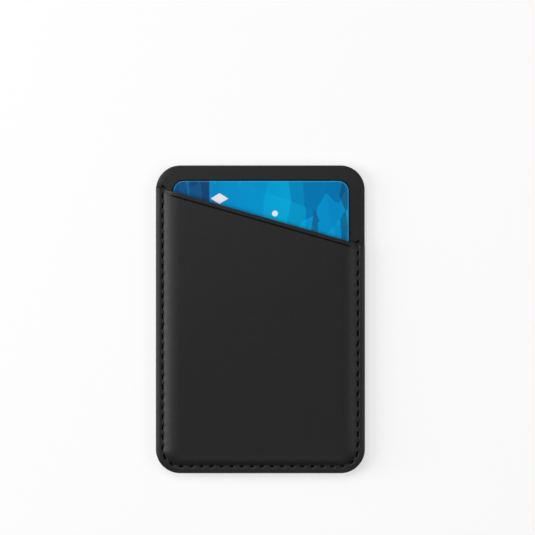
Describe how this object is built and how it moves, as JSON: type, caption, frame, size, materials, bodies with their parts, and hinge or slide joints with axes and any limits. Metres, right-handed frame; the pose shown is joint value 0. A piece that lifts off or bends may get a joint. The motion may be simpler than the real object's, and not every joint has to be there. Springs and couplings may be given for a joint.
{
  "type": "magnetic phone card holder",
  "caption": "Flat black leather card pocket with a slanting mouth and a stitched edge, holding a bank card and clinging to a phone's back by a hidden magnet ring.",
  "frame": {"origin": "middle of the holder's outline on its flat rear face, the face that meets the phone", "axes": "+X to the right seen from the front, +Y towards the top of the phone and the pocket's mouth, +Z out of the front"},
  "size_m": [0.0644, 0.095, 0.0054],
  "materials": {
    "panel_leather": "matt black grained leather, lightly sanded sheen",
    "rear_microfibre": "short charcoal microfibre",
    "lining_microfibre": "thin charcoal lining cloth",
    "core_board": "black moulded sheet",
    "magnet_plating": "bright nickel plating",
    "magnetic_steel": "plain thin steel sheet",
    "black_thread": "waxed black polyester thread",
    "card_print": "blue faceted print under satin film"
  },
  "bodies": {
    "root": {"rear_cover": "rear_microfibre", "core_frame": "core_board", "core_disc": "core_board", "ring_yoke": "magnetic_steel", "bar_magnet": "magnet_plating", "bar_yoke": "magnetic_steel", "shield_plate": "magnetic_steel", "back_panel": "panel_leather", "card": "card_print", "pocket_lining": "lining_microfibre", "front_panel": "panel_leather", "bobbin_thread": "black_thread", "needle_thread": "black_thread", "ring_magnet_01": "magnet_plating", "ring_magnet_02": "magnet_plating", "ring_magnet_03": "magnet_plating", "ring_magnet_04": "magnet_plating", "ring_magnet_05": "magnet_plating", "ring_magnet_06": "magnet_plating", "ring_magnet_07": "magnet_plating", "ring_magnet_08": "magnet_plating", "ring_magnet_09": "magnet_plating", "ring_magnet_10": "magnet_plating", "ring_magnet_11": "magnet_plating", "ring_magnet_12": "magnet_plating", "ring_magnet_13": "magnet_plating", "ring_magnet_14": "magnet_plating", "ring_magnet_15": "magnet_plating", "ring_magnet_16": "magnet_plating"}
  },
  "joints": []
}
